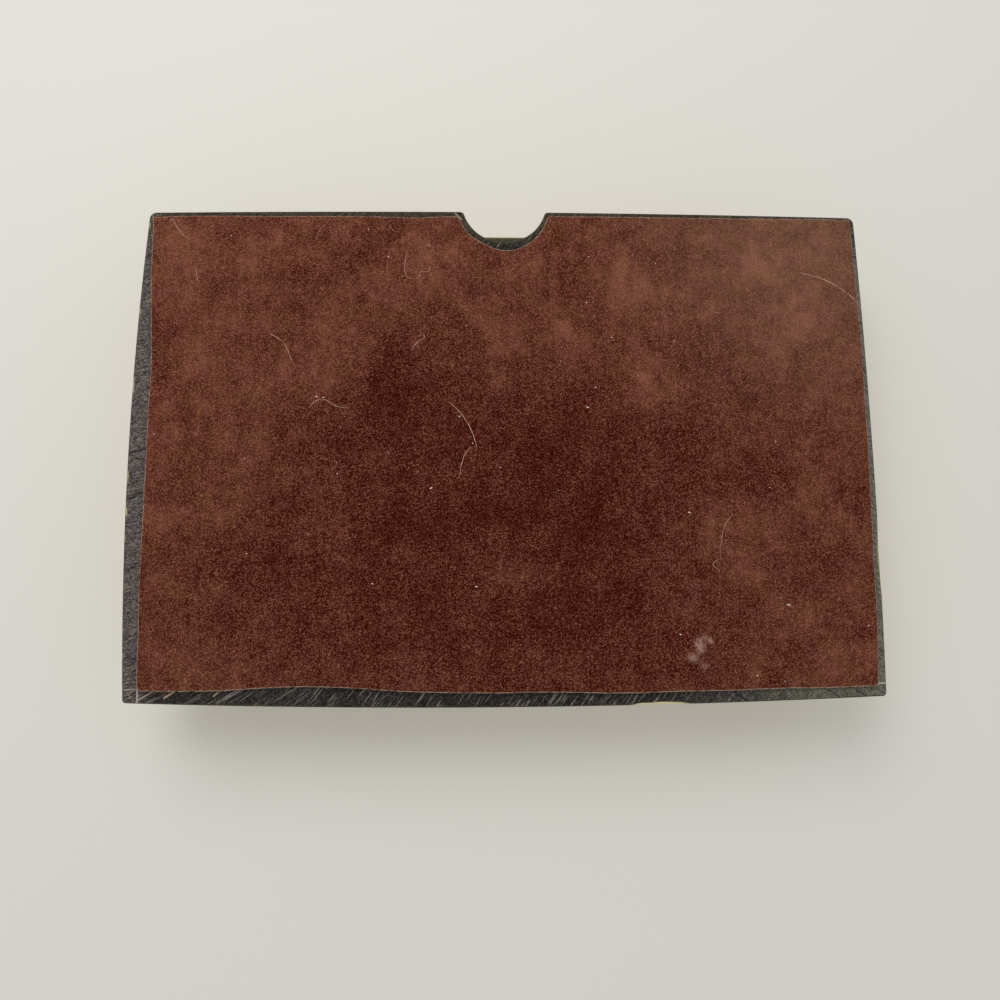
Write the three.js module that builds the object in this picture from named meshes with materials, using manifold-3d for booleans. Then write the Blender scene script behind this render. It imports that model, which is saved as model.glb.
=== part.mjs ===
// Stoneware box for two decks of playing cards, in millimetres.
// A base tray with a finger notch, a lift-off cover, a felt under the base and a felt in each card well.
// +Z is up and the notch faces -Y. The origin is the middle of the footprint, at the base felt's underside.

import * as THREE from "three";
import { mergeVertices } from "three/addons/utils/BufferGeometryUtils.js";
import Module from "manifold-3d";

// The playing cards
const CARD_WIDTH = 63.5;
const CARD_LENGTH = 88.9;
const DECK_HEIGHT = 17;
const DECK_HEADROOM = 3;

// The card wells and the curb round them
const WELL_CLEARANCE = 1.15;
const WELL_CORNER_RADIUS = 3;
const DIVIDER_WIDTH = 15.9;
const CURB_THICKNESS = 3;
const CURB_HEIGHT = 9;
const CURB_EDGE_RADIUS = 1;
const SADDLE_RADIUS = 16;
const SADDLE_DEPTH = 6;

// The cover, which stands on the base's ledge and drops over the curb
const COVER_PLAY = 1;
const COVER_WALL = 5;
const COVER_TOP_THICKNESS = 5;
const COVER_CROWN = 1.2;
const COVER_DRAFT = 0.8;
const COVER_CORNER_RADIUS = 7;
const COVER_EDGE_RADIUS = 4;
const COVER_FOOT_RADIUS = 0.8;
const COVER_LEAD_IN = 0.8;
const CAVITY_CORNER_RADIUS = 4;
const CAVITY_EDGE_RADIUS = 3;

// The base slab, each side bowed outwards by its own amount, as clay sides come out of the kiln
const LEDGE_WIDTH = 3;
const SLAB_THICKNESS = 6.5;
const SLAB_TOP_RADIUS = 0.8;
const SLAB_ARRIS = 0.25;
const FRONT_BOW = 0.85;
const RIGHT_BOW = 0.9;
const BACK_BOW = 1.7;
const LEFT_BOW = 1.9;
const FRONT_CORNER_RADIUS = 1.6;
const BACK_CORNER_RADIUS = 0.9;

// The half-round finger notch in the front edge, where a fingertip lifts the cover
const NOTCH_RADIUS = 10.3;
const NOTCH_DEPTH = 7.8;
const NOTCH_OFFSET = -0.45;
const NOTCH_LIP_RADIUS = 1;

// The base felt, cut by hand a little inside the slab, with its own notch
const FELT_THICKNESS = 1;
const FELT_FRONT_LEFT_MARGIN = 1.6;
const FELT_FRONT_RIGHT_MARGIN = 0.95;
const FELT_BACK_LEFT_MARGIN = 3.2;
const FELT_BACK_RIGHT_MARGIN = 2.7;
const FELT_LEFT_FRONT_MARGIN = 1.2;
const FELT_LEFT_BACK_MARGIN = 3.9;
const FELT_RIGHT_FRONT_MARGIN = 1.25;
const FELT_RIGHT_BACK_MARGIN = 2.6;
const FELT_FRONT_BOW = 0.8;
const FELT_RIGHT_BOW = 1.3;
const FELT_BACK_BOW = 1.3;
const FELT_LEFT_BOW = 0;
const FELT_CORNER_RADIUS = 0.6;
const FELT_NOTCH_MARGIN = 2.3;
const FELT_NOTCH_RADIUS = 10.8;
const FELT_NOTCH_OFFSET = -0.65;
const FELT_NOTCH_LIP_RADIUS = 1.6;

// The felt in each well
const WELL_FELT_THICKNESS = 1;
const WELL_FELT_GAP = 0.4;

// How closely straight facets follow a curve, and how deep joined solids reach into each other
const FACET_TOLERANCE = 0.025;
const FLATTEST_BOW = 0.001;
const SMALL_EDGE_STEPS = 3;
const LARGE_EDGE_STEPS = 6;
const SADDLE_FACETS = 56;
const CROWN_SCALES = [0.85, 0.65, 0.45, 0.25];
const JOIN_DEPTH = 0.5;

// The largest share of a corner or of a wall that a rounded edge may take up
const CORNER_SHARE = 0.9;
const WALL_SHARE = 0.35;
const SMALLEST_CORNER_RADIUS = 0.3;

const wasm = await Module();
wasm.setup();

// Sizes that follow from the cards, the clearances and the walls
const wellWidth = CARD_WIDTH + 2 * WELL_CLEARANCE;
const wellLength = CARD_LENGTH + 2 * WELL_CLEARANCE;
const curbInset = LEDGE_WIDTH + COVER_WALL + COVER_PLAY;
const baseWidth = 2 * wellWidth + DIVIDER_WIDTH + 2 * (CURB_THICKNESS + curbInset);
const baseDepth = wellLength + 2 * (CURB_THICKNESS + curbInset);

// The unequal bows put the corners off the middle, so that the footprint itself is centred on the origin.
const middle = new THREE.Vector2((LEFT_BOW - RIGHT_BOW) / 2, (FRONT_BOW - BACK_BOW) / 2);
const leftX = middle.x - baseWidth / 2;
const rightX = middle.x + baseWidth / 2;
const frontY = middle.y - baseDepth / 2;
const backY = middle.y + baseDepth / 2;

const slabTop = FELT_THICKNESS + SLAB_THICKNESS;
const curbTop = slabTop + CURB_HEIGHT;
const ceiling = slabTop + WELL_FELT_THICKNESS + DECK_HEIGHT + DECK_HEADROOM;
const coverTop = ceiling + COVER_TOP_THICKNESS;

const direction = (from, to) => Math.atan2(to.y - from.y, to.x - from.x);

// The circle through two ends of a side, bulging outwards by the bow at the middle of the side.
function sideCircle(start, end, bow) {
  const rise = Math.max(bow, FLATTEST_BOW);
  const chord = start.distanceTo(end);
  const radius = (chord * chord) / (8 * rise) + rise / 2;
  const along = end.clone().sub(start).normalize();
  const inwards = new THREE.Vector2(-along.y, along.x);
  const centre = start.clone().lerp(end, 0.5).addScaledVector(inwards, radius - rise);
  return { centre, radius };
}

// Where two circles cross, at the crossing nearer to a given point.
function crossing(firstCentre, firstRadius, secondCentre, secondRadius, near) {
  const distance = firstCentre.distanceTo(secondCentre);
  const squares = firstRadius * firstRadius - secondRadius * secondRadius;
  const along = (distance * distance + squares) / (2 * distance);
  const across = Math.sqrt(Math.max(firstRadius * firstRadius - along * along, 0));
  const unit = secondCentre.clone().sub(firstCentre).divideScalar(distance);
  const foot = firstCentre.clone().addScaledVector(unit, along);
  const normal = new THREE.Vector2(-unit.y, unit.x);
  const left = foot.clone().addScaledVector(normal, across);
  const right = foot.clone().addScaledVector(normal, -across);
  return left.distanceTo(near) < right.distanceTo(near) ? left : right;
}

// One arc of an outline. A hollow arc, such as a notch, runs clockwise and curves into the material.
function arc(centre, radius, from, to, hollow = false) {
  const turn = 2 * Math.PI;
  let sweep = (((to - from) % turn) + turn) % turn;
  if (hollow) {
    sweep -= turn;
  }
  const step = 2 * Math.acos(Math.max(1 - FACET_TOLERANCE / radius, 0));
  const steps = Math.max(1, Math.ceil(Math.abs(sweep) / step));
  return { centre, radius, from, sweep, steps, hollow };
}

// A four-sided outline of tangent arcs: bowed sides, rounded corners and, on the front, a notch.
// Corners run front left, front right, back right, back left, and each side follows its corner.
// The inset moves every side straight inwards before the corners are rounded.
function bowedOutline({ corners, bows, radii, inset = 0, notch = null }) {
  const sides = corners.map((corner, i) => {
    const circle = sideCircle(corner, corners[(i + 1) % 4], bows[i]);
    return { centre: circle.centre, radius: circle.radius - inset };
  });
  const rounds = corners.map((corner, i) => {
    const before = sides[(i + 3) % 4];
    const after = sides[i];
    const radius = radii[i];
    const centre = crossing(
      before.centre,
      before.radius - radius,
      after.centre,
      after.radius - radius,
      corner,
    );
    return { centre, radius };
  });
  const arcs = [];
  sides.forEach((side, i) => {
    const before = sides[(i + 3) % 4];
    const start = rounds[i].centre;
    const end = rounds[(i + 1) % 4].centre;
    arcs.push(arc(start, radii[i], direction(before.centre, start), direction(side.centre, start)));
    if (i === 0 && notch) {
      arcs.push(...notchedSide(side, start, end, notch));
      return;
    }
    arcs.push(arc(side.centre, side.radius, direction(side.centre, start), direction(side.centre, end)));
  });
  return arcs;
}

// The front side as far as the notch, a lip, the notch, the other lip and the rest of the side.
function notchedSide(side, start, end, { centre, radius, lip }) {
  const lipCentre = (near) => crossing(side.centre, side.radius - lip, centre, radius + lip, near);
  const left = lipCentre(start);
  const right = lipCentre(end);
  return [
    arc(side.centre, side.radius, direction(side.centre, start), direction(side.centre, left)),
    arc(left, lip, direction(side.centre, left), direction(left, centre)),
    arc(centre, radius, direction(centre, left), direction(centre, right), true),
    arc(right, lip, direction(right, centre), direction(side.centre, right)),
    arc(side.centre, side.radius, direction(side.centre, right), direction(side.centre, end)),
  ];
}

// The outline's points moved straight inwards: a rounded arc loses radius and a hollow one gains it.
function outlinePoints(arcs, inset = 0) {
  return arcs.flatMap(({ centre, radius, from, sweep, steps, hollow }) => {
    const reach = hollow ? radius + inset : radius - inset;
    return Array.from({ length: steps }, (_, i) => {
      const angle = from + (sweep * i) / steps;
      return new THREE.Vector2(centre.x + reach * Math.cos(angle), centre.y + reach * Math.sin(angle));
    });
  });
}

// A closed solid through insets of one outline at rising heights, with a flat cap at each end.
// A ring's scale draws it in towards the middle of the footprint.
function loft(arcs, rings) {
  const outlines = rings.map(({ inset, scale = 1 }) =>
    outlinePoints(arcs, inset).map((point) => point.sub(middle).multiplyScalar(scale).add(middle)),
  );
  const count = outlines[0].length;
  const positions = outlines.flatMap((points, i) => points.flatMap(({ x, y }) => [x, y, rings[i].z]));
  const faces = [];
  for (let ring = 0; ring + 1 < rings.length; ring += 1) {
    for (let i = 0; i < count; i += 1) {
      const low = ring * count + i;
      const nextLow = ring * count + ((i + 1) % count);
      faces.push(low, nextLow, nextLow + count);
      faces.push(low, nextLow + count, low + count);
    }
  }
  const last = (rings.length - 1) * count;
  for (const [a, b, c] of THREE.ShapeUtils.triangulateShape(outlines[0], [])) {
    faces.push(a, c, b);
  }
  for (const [a, b, c] of THREE.ShapeUtils.triangulateShape(outlines[rings.length - 1], [])) {
    faces.push(last + a, last + b, last + c);
  }
  const geometry = new THREE.BufferGeometry();
  geometry.setAttribute("position", new THREE.Float32BufferAttribute(positions, 3));
  geometry.setIndex(faces);
  return geometry;
}

// Rings of a rounded upper edge, from the upright wall to the flat top. The wall may lean in by a draft.
function upperEdge(radius, top, steps, draft = 0) {
  return Array.from({ length: steps + 1 }, (_, i) => {
    const angle = (i / steps) * (Math.PI / 2);
    return {
      inset: draft + radius * (1 - Math.cos(angle)),
      z: top - radius * (1 - Math.sin(angle)),
    };
  });
}

// Rings of a rounded lower edge, from the flat foot to the upright wall.
function lowerEdge(radius, bottom, steps) {
  return upperEdge(radius, 0, steps)
    .reverse()
    .map(({ inset, z }) => ({ inset, z: bottom - z }));
}

// Rings of a mouth whose rim is rounded over, from the upright wall out to the flat top.
function flaredEdge(radius, top, steps) {
  return upperEdge(radius, top, steps).map(({ inset, z }) => ({ inset: -inset, z }));
}

function solidOf(geometry) {
  const bare = geometry.clone();
  bare.deleteAttribute("normal");
  bare.deleteAttribute("uv");
  const welded = mergeVertices(bare);
  return new wasm.Manifold(
    new wasm.Mesh({
      numProp: 3,
      vertProperties: new Float32Array(welded.attributes.position.array),
      triVerts: new Uint32Array(welded.index.array),
    }),
  );
}

function geometryOf(solid) {
  const mesh = solid.getMesh();
  const geometry = new THREE.BufferGeometry();
  geometry.setAttribute("position", new THREE.BufferAttribute(mesh.vertProperties, 3));
  geometry.setIndex(new THREE.BufferAttribute(mesh.triVerts, 1));
  geometry.computeVertexNormals();
  return geometry;
}

// The footprint that the slab, the cover, its hollow and the curb are taken from, each by its own inset.
const footprint = {
  corners: [
    new THREE.Vector2(leftX, frontY),
    new THREE.Vector2(rightX, frontY),
    new THREE.Vector2(rightX, backY),
    new THREE.Vector2(leftX, backY),
  ],
  bows: [FRONT_BOW, RIGHT_BOW, BACK_BOW, LEFT_BOW],
};

const notchBottom = frontY - FRONT_BOW + NOTCH_DEPTH;

function slabGeometry() {
  const sharpest = Math.min(FRONT_CORNER_RADIUS, BACK_CORNER_RADIUS, NOTCH_LIP_RADIUS);
  const topRadius = Math.min(SLAB_TOP_RADIUS, CORNER_SHARE * sharpest);
  const arcs = bowedOutline({
    ...footprint,
    radii: [FRONT_CORNER_RADIUS, FRONT_CORNER_RADIUS, BACK_CORNER_RADIUS, BACK_CORNER_RADIUS],
    notch: {
      centre: new THREE.Vector2(middle.x + NOTCH_OFFSET, notchBottom - NOTCH_RADIUS),
      radius: NOTCH_RADIUS,
      lip: NOTCH_LIP_RADIUS,
    },
  });
  return loft(arcs, [
    { inset: SLAB_ARRIS, z: FELT_THICKNESS },
    { inset: 0, z: FELT_THICKNESS + SLAB_ARRIS },
    ...upperEdge(topRadius, slabTop, SMALL_EDGE_STEPS),
  ]);
}

// One card well's outline, with the side given as -1 for the left well and 1 for the right.
function wellOutline(side, inset = 0) {
  const centreX = middle.x + (side * (DIVIDER_WIDTH + wellWidth)) / 2;
  const x = wellWidth / 2 - inset;
  const y = wellLength / 2 - inset;
  const radius = Math.max(WELL_CORNER_RADIUS - inset, SMALLEST_CORNER_RADIUS);
  return bowedOutline({
    corners: [
      new THREE.Vector2(centreX - x, middle.y - y),
      new THREE.Vector2(centreX + x, middle.y - y),
      new THREE.Vector2(centreX + x, middle.y + y),
      new THREE.Vector2(centreX - x, middle.y + y),
    ],
    bows: [0, 0, 0, 0],
    radii: [radius, radius, radius, radius],
  });
}

// The slab, the curb and divider that stand on it round the wells, and a saddle across them for the fingers.
function baseTraySolid() {
  const cornerRadius = Math.max(CAVITY_CORNER_RADIUS - COVER_PLAY, SMALLEST_CORNER_RADIUS);
  const edgeRadius = Math.min(
    CURB_EDGE_RADIUS,
    CORNER_SHARE * cornerRadius,
    WALL_SHARE * CURB_THICKNESS,
  );
  const block = loft(
    bowedOutline({ ...footprint, inset: curbInset, radii: Array(4).fill(cornerRadius) }),
    [
      { inset: 0, z: slabTop - JOIN_DEPTH },
      ...upperEdge(edgeRadius, curbTop, SMALL_EDGE_STEPS),
    ],
  );
  const wells = [-1, 1].map((side) =>
    solidOf(
      loft(wellOutline(side), [
        { inset: 0, z: slabTop - 2 * JOIN_DEPTH },
        ...flaredEdge(edgeRadius, curbTop, SMALL_EDGE_STEPS),
        { inset: -edgeRadius, z: curbTop + JOIN_DEPTH },
      ]),
    ),
  );
  const saddle = new THREE.CylinderGeometry(SADDLE_RADIUS, SADDLE_RADIUS, baseWidth, SADDLE_FACETS);
  saddle.rotateZ(Math.PI / 2);
  saddle.translate(middle.x, middle.y, curbTop - SADDLE_DEPTH + SADDLE_RADIUS);
  const curb = wells.reduce((rest, well) => rest.subtract(well), solidOf(block));
  return solidOf(slabGeometry()).add(curb.subtract(solidOf(saddle)));
}

// A hollow cap whose walls lean in a little, with a rounded, slightly crowned top.
// A chamfer inside its foot finds the curb.
function coverSolid() {
  const outside = bowedOutline({
    ...footprint,
    inset: LEDGE_WIDTH,
    radii: Array(4).fill(COVER_CORNER_RADIUS),
  });
  const inside = bowedOutline({
    ...footprint,
    inset: LEDGE_WIDTH + COVER_WALL,
    radii: Array(4).fill(CAVITY_CORNER_RADIUS),
  });
  const edgeRadius = Math.min(COVER_EDGE_RADIUS, CORNER_SHARE * COVER_CORNER_RADIUS - COVER_DRAFT);
  const hollowRadius = Math.min(CAVITY_EDGE_RADIUS, CORNER_SHARE * CAVITY_CORNER_RADIUS - COVER_DRAFT);
  const footRadius = Math.min(COVER_FOOT_RADIUS, WALL_SHARE * COVER_WALL);
  const leadIn = Math.min(COVER_LEAD_IN, WALL_SHARE * COVER_WALL);
  const crown = CROWN_SCALES.map((scale) => ({
    inset: COVER_DRAFT + edgeRadius,
    scale,
    z: coverTop + COVER_CROWN * (1 - scale * scale),
  }));
  const body = loft(outside, [
    ...lowerEdge(footRadius, slabTop, SMALL_EDGE_STEPS),
    ...upperEdge(edgeRadius, coverTop, LARGE_EDGE_STEPS, COVER_DRAFT),
    ...crown,
  ]);
  const hollow = loft(inside, [
    { inset: -leadIn, z: slabTop - JOIN_DEPTH },
    { inset: -leadIn, z: slabTop },
    { inset: 0, z: slabTop + leadIn },
    ...upperEdge(hollowRadius, ceiling, LARGE_EDGE_STEPS, COVER_DRAFT),
  ]);
  return solidOf(body).subtract(solidOf(hollow));
}

function baseFeltGeometry() {
  const arcs = bowedOutline({
    corners: [
      new THREE.Vector2(leftX + FELT_LEFT_FRONT_MARGIN, frontY + FELT_FRONT_LEFT_MARGIN),
      new THREE.Vector2(rightX - FELT_RIGHT_FRONT_MARGIN, frontY + FELT_FRONT_RIGHT_MARGIN),
      new THREE.Vector2(rightX - FELT_RIGHT_BACK_MARGIN, backY - FELT_BACK_RIGHT_MARGIN),
      new THREE.Vector2(leftX + FELT_LEFT_BACK_MARGIN, backY - FELT_BACK_LEFT_MARGIN),
    ],
    bows: [FELT_FRONT_BOW, FELT_RIGHT_BOW, FELT_BACK_BOW, FELT_LEFT_BOW],
    radii: Array(4).fill(FELT_CORNER_RADIUS),
    notch: {
      centre: new THREE.Vector2(
        middle.x + FELT_NOTCH_OFFSET,
        notchBottom + FELT_NOTCH_MARGIN - FELT_NOTCH_RADIUS,
      ),
      radius: FELT_NOTCH_RADIUS,
      lip: FELT_NOTCH_LIP_RADIUS,
    },
  });
  return loft(arcs, [
    { inset: 0, z: 0 },
    { inset: 0, z: FELT_THICKNESS },
  ]);
}

function wellFeltGeometry(side) {
  return loft(wellOutline(side, WELL_FELT_GAP), [
    { inset: 0, z: slabTop },
    { inset: 0, z: slabTop + WELL_FELT_THICKNESS },
  ]);
}

const clay = new THREE.MeshStandardMaterial({ color: 0x4a4540, roughness: 0.75, metalness: 0 });
const glaze = new THREE.MeshStandardMaterial({ color: 0xc9bf9b, roughness: 0.3, metalness: 0 });
const felt = new THREE.MeshStandardMaterial({ color: 0x5b3327, roughness: 1, metalness: 0 });

const cardBox = new THREE.Group();
cardBox.name = "card_box";

function addPiece(name, geometry, material) {
  const piece = new THREE.Mesh(geometry, material);
  piece.name = name;
  cardBox.add(piece);
}

addPiece("base_tray", geometryOf(baseTraySolid()), clay);
addPiece("base_felt", baseFeltGeometry(), felt);
addPiece("left_well_felt", wellFeltGeometry(-1), felt);
addPiece("right_well_felt", wellFeltGeometry(1), felt);
addPiece("cover", geometryOf(coverSolid()), glaze);

export default cardBox;
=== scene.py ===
import math
import random
from collections import namedtuple

import bpy
import numpy as np
from mathutils import Euler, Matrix, Vector, geometry, noise


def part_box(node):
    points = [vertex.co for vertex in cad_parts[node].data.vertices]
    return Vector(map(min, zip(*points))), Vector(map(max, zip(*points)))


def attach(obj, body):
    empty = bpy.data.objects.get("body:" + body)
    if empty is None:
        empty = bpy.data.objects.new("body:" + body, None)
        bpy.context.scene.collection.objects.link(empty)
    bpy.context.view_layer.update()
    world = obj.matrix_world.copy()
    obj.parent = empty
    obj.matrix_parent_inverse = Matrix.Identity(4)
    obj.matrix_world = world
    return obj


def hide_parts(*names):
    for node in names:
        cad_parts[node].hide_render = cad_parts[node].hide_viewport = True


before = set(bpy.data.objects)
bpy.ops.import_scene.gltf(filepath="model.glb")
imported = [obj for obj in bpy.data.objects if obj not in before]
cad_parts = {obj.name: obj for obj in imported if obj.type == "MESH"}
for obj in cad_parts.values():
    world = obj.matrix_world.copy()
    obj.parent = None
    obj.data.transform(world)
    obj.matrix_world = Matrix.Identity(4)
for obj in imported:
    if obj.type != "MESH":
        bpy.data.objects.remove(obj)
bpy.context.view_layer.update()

# A stoneware box for two decks of playing cards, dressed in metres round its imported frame.
# +Z is up and the finger notch faces -Y. The main view looks up at the felt under the base.

MM = 0.001

# Heights that the frame gives
tray_low, tray_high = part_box("base_tray")
cover_low, cover_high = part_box("cover")
felt_low, felt_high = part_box("base_felt")
slab_bottom = tray_low.z
slab_top = cover_low.z
curb_top = tray_high.z
crown_top = cover_high.z

# The footprint: how far each side bows out, in the order front, right, back, left
BOWS = [0.85 * MM, 0.9 * MM, 1.7 * MM, 1.9 * MM]
FLATTEST_BOW = 0.001 * MM
left_x = tray_low.x + BOWS[3]
right_x = tray_high.x - BOWS[1]
front_y = tray_low.y + BOWS[0]
back_y = tray_high.y - BOWS[2]
middle = complex((left_x + right_x) / 2, (front_y + back_y) / 2)
corners = [
    complex(left_x, front_y),
    complex(right_x, front_y),
    complex(right_x, back_y),
    complex(left_x, back_y),
]

# The slab under the tray, with its finger notch
SLAB_CORNERS = [1.6 * MM, 1.6 * MM, 0.9 * MM, 0.9 * MM]
SLAB_ARRIS = 0.25 * MM
SLAB_TOP_RADIUS = 0.8 * MM
NOTCH_RADIUS = 10.3 * MM
NOTCH_DEPTH = 7.8 * MM
NOTCH_OFFSET = -0.45 * MM
NOTCH_LIP_RADIUS = 1.0 * MM

# The cover on its ledge, and the curb inside it
LEDGE_WIDTH = 3.0 * MM
COVER_WALL = 5.0 * MM
COVER_PLAY = 1.0 * MM
COVER_TOP_THICKNESS = 5.0 * MM
COVER_CROWN = 1.125 * MM
COVER_DRAFT = 0.8 * MM
COVER_CORNER_RADIUS = 7.0 * MM
COVER_EDGE_RADIUS = 4.0 * MM
COVER_FOOT_RADIUS = 0.8 * MM
COVER_LEAD_IN = 0.8 * MM
CAVITY_CORNER_RADIUS = 4.0 * MM
CAVITY_EDGE_RADIUS = 2.8 * MM
CURB_CORNER_RADIUS = 3.0 * MM
CURB_EDGE_RADIUS = 1.0 * MM
CURB_FOOT_FILLET = 0.5 * MM
cavity_inset = LEDGE_WIDTH + COVER_WALL
curb_inset = cavity_inset + COVER_PLAY
cover_top = crown_top - COVER_CROWN
ceiling = cover_top - COVER_TOP_THICKNESS

# The card wells, and the saddle that lets the fingers reach the cards
WELL_FELT_GAP = 0.4 * MM
WELL_CORNER_RADIUS = 3.0 * MM
SADDLE_RADIUS = 16.0 * MM
SADDLE_DEPTH = 6.0 * MM
SADDLE_SOFTNESS = 0.6 * MM

# The felt under the base: margins to the slab's corners, front left first, and its own bows and notch
FELT_MARGINS = [
    complex(1.2, 1.6) * MM,
    complex(-1.25, 0.95) * MM,
    complex(-2.6, -2.7) * MM,
    complex(3.9, -3.2) * MM,
]
FELT_BOWS = [0.8 * MM, 1.3 * MM, 1.3 * MM, 0.0]
FELT_CORNER_RADIUS = 0.6 * MM
FELT_NOTCH_MARGIN = 2.3 * MM
FELT_NOTCH_RADIUS = 10.8 * MM
FELT_NOTCH_OFFSET = -0.65 * MM
FELT_NOTCH_LIP_RADIUS = 1.6 * MM
FELT_POINT_SPACING = 0.9 * MM
FELT_RIM = 0.3 * MM
NAP_DEPTH = 0.1 * MM

# The glaze: how thick it lies, over what height it thins out, and where it stops above a foot
GLAZE_THICKNESS = 0.24 * MM
GLAZE_LIP = 0.7 * MM
SLAB_GLAZE_STOP = 3.6 * MM
COVER_GLAZE_STOP = 0.12 * MM
COVER_GLAZE_LIP = 0.34 * MM
INNER_GLAZE_LIP = 3.0 * MM
# The bead in which it ends, its share of the step in the clay, and how far it stays inside the slab's edge
GLAZE_BEAD = 0.06 * MM
GLAZE_BEAD_WIDTH = 0.5 * MM
GLAZE_FILL = 0.9
GLAZE_SETBACK = 0.02 * MM

# The slab's ground margin: its rows, the glaze smeared over it and the flecks of glaze on its left edge
MARGIN_INSETS = [inset * MM for inset in (0.85, 0.65, 0.5, 0.38)]
SMEAR_SLOPE = 3.4
SMEAR_LIP = 1.2 * MM
SMEAR_SHARE = 0.8
FLECK_LEVEL, FLECK_RISE = 0.25, 0.3
FLECK_REACH, FLECK_FADE = 0.6 * MM, 0.25 * MM
GRINDING_DEPTH = 0.01 * MM

# How far hand-worked clay wanders from true, over what distance, and from what height above its foot
CLAY_WANDER = 0.12 * MM
CLAY_WANDER_SIZE = 32.0 * MM
CLAY_FREE_HEIGHT = 1.0 * MM
COVER_TRUE_FOOT = 1.2 * MM

# Wanders along a line: amount, in millimetres where it is a length, size in millimetres and seed
SLAB_GLAZE_WANDER = [(0.7, 16, 3), (0.3, 5, 4)]
COVER_GLAZE_WANDER = [(0.05, 7, 5)]
ARRIS_WANDER = [(0.55, 2.5, 8), (0.4, 9, 9)]
FLECK_WANDER = [(1.0, 2.0, 14)]
FELT_CUT_WANDER = [(0.28, 17, 11), (0.07, 3, 12)]
LINING_CUT_WANDER = [(0.15, 12, 31)]
NAP_RELIEF = [(0.32, 5, 21), (0.2, 1.8, 22)]
NAP_DRIFT_X = [(2.6, 7, 41)]
NAP_DRIFT_Y = [(2.6, 7, 42)]
NAP_CLOUDS = [(0.15, 11, 43), (0.15, 4.5, 44), (0.12, 2.2, 45)]
NAP_BREAKS = [(0.8, 3.2, 46)]

# The radius at which a rounded edge is sharp enough for glaze to run thin, how often that is smoothed,
# and the shortest edge that it is measured on
EDGE_BREAK_RADIUS = 2.2 * MM
EDGE_SMOOTHINGS = 2
SHORTEST_EDGE = 0.001 * MM

# The angle from which two faces meet in a crease, and the distance at which two points are one
CREASE_ANGLE = math.radians(42)
SAME_POINT = 0.0001 * MM

# Points along each part of an outline
CORNER_POINTS = 12
LONG_SIDE_POINTS = 188
SHORT_SIDE_POINTS = 120
NOTCH_POINTS = (70, 6, 36, 6, 70)
WELL_SIDE_POINTS = (66, 104, 66, 104)
COVER_SIDE_POINTS = (150, 100, 150, 100)

# Rows of points up a wall, steps round an edge, and rings and a grid across a flat
SLAB_WALL_ROWS = 26
LEDGE_ROWS = 6
CURB_WALL_ROWS = 9
CAVITY_WALL_ROWS = 10
COVER_WALL_ROWS = 25
FILLET_STEPS = 3
EDGE_STEPS = 5
COVER_ROUND_STEPS = 6
COVER_EDGE_STEPS = 10
CEILING_RINGS = np.linspace(0.04, 0.96, 12)
CROWN_RINGS = np.linspace(1, 0.02, 42)[1:]
DIVIDER_POINTS = (9, 41)
DIVIDER_REACH = 1.1


# Outlines, as complex numbers seen from above and running counter-clockwise

Arc = namedtuple("Arc", "centre radius start sweep shares hollow")


def even(count):
    """Shares of an arc at which its points lie, when they are evenly spread."""
    return np.arange(count) / count


def arc(centre, radius, start, end, shares, hollow=False):
    """One arc between two angles. A hollow arc, such as a notch, runs clockwise into the clay."""
    sweep = (end - start) % math.tau
    if hollow:
        sweep -= math.tau
    return Arc(centre, radius, start, sweep, shares, hollow)


def angle(start, end):
    return math.atan2(end.imag - start.imag, end.real - start.real)


def side_circle(start, end, bow, inset):
    """Centre and radius of a side that bulges outwards by its bow, moved inwards by the inset."""
    rise = max(bow, FLATTEST_BOW)
    chord = abs(end - start)
    radius = chord**2 / (8 * rise) + rise / 2
    inwards = 1j * (end - start) / chord
    return (start + end) / 2 + inwards * (radius - rise), radius - inset


def crossing(first, first_radius, second, second_radius, near):
    """Where two circles cross, at the crossing nearer to a given point."""
    distance = abs(second - first)
    along = (distance**2 + first_radius**2 - second_radius**2) / (2 * distance)
    across = math.sqrt(max(first_radius**2 - along**2, 0.0))
    unit = (second - first) / distance
    both = [first + unit * complex(along, side * across) for side in (-1, 1)]
    return min(both, key=lambda point: abs(point - near))


def notched_side(side, start, end, notch):
    """The front side as far as the notch, a lip, the notch, the other lip and the rest of the side."""
    centre, radius = side
    notch_centre, notch_radius, lip_radius = notch
    inner, outer = (centre, radius - lip_radius), (notch_centre, notch_radius + lip_radius)
    left = crossing(*inner, *outer, start)
    right = crossing(*inner, *outer, end)
    before, turn_in, hollow, turn_out, after = [even(count) for count in NOTCH_POINTS]
    return [
        arc(centre, radius, angle(centre, start), angle(centre, left), before),
        arc(left, lip_radius, angle(centre, left), angle(left, notch_centre), turn_in),
        arc(notch_centre, notch_radius, *[angle(notch_centre, lip) for lip in (left, right)], hollow, True),
        arc(right, lip_radius, angle(right, notch_centre), angle(centre, right), turn_out),
        arc(centre, radius, angle(centre, right), angle(centre, end), after),
    ]


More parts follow.
